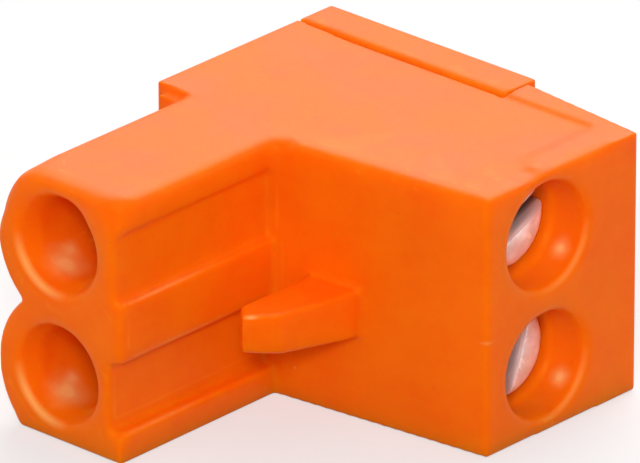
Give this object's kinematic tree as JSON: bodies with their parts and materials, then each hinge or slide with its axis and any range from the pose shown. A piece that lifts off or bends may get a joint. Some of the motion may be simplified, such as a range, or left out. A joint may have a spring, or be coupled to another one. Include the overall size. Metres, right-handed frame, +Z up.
{
  "type": "pluggable terminal block",
  "caption": "Pluggable screw terminal block: a lobed nose of pin sockets, a locking tongue, slotted clamp screws on one face and funnel wire entries at the back.",
  "frame": {"origin": "middle of the footprint, on the lower end face", "axes": "+X from the sole to the screw face, +Y from the mating end to the wire end, +Z up the row of poles"},
  "size_m": [0.0158, 0.0182, 0.0102],
  "materials": {
    "housing_plastic": "satin moulded polyamide, orange",
    "cover_plastic": "satin moulded polyamide, orange",
    "screw_steel": "bright zinc plating",
    "cage_steel": "zinc-plated strip",
    "tinned_contact": "tin-plated copper alloy strip"
  },
  "bodies": {
    "block": {"housing": "housing_plastic", "rear_cover": "cover_plastic", "socket_contact_lower": "tinned_contact", "socket_contact_upper": "tinned_contact"},
    "screw_lower": {"clamp_screw_lower": "screw_steel"},
    "cage_lower": {"clamp_cage_lower": "cage_steel"},
    "screw_upper": {"clamp_screw_upper": "screw_steel"},
    "cage_upper": {"clamp_cage_upper": "cage_steel"}
  },
  "joints": [
    {"name": "screw_lower_turn", "type": "hinge", "parent": "block", "child": "screw_lower", "pos_m": [0.0062, 0.0033, 0.00254], "axis": [-1, 0, 0], "range_deg": [0, 2240]},
    {"name": "cage_lower_rise", "type": "slide", "parent": "block", "child": "cage_lower", "axis": [1, 0, 0], "range_m": [0, 0.0028]},
    {"name": "screw_upper_turn", "type": "hinge", "parent": "block", "child": "screw_upper", "pos_m": [0.0062, 0.0033, 0.00762], "axis": [-1, 0, 0], "range_deg": [0, 2240]},
    {"name": "cage_upper_rise", "type": "slide", "parent": "block", "child": "cage_upper", "axis": [1, 0, 0], "range_m": [0, 0.0028]}
  ],
  "couplings": [
    {"joint": "screw_lower_turn", "follows": "cage_lower_rise", "rad_per_m": 13963},
    {"joint": "screw_upper_turn", "follows": "cage_upper_rise", "rad_per_m": 13963}
  ]
}
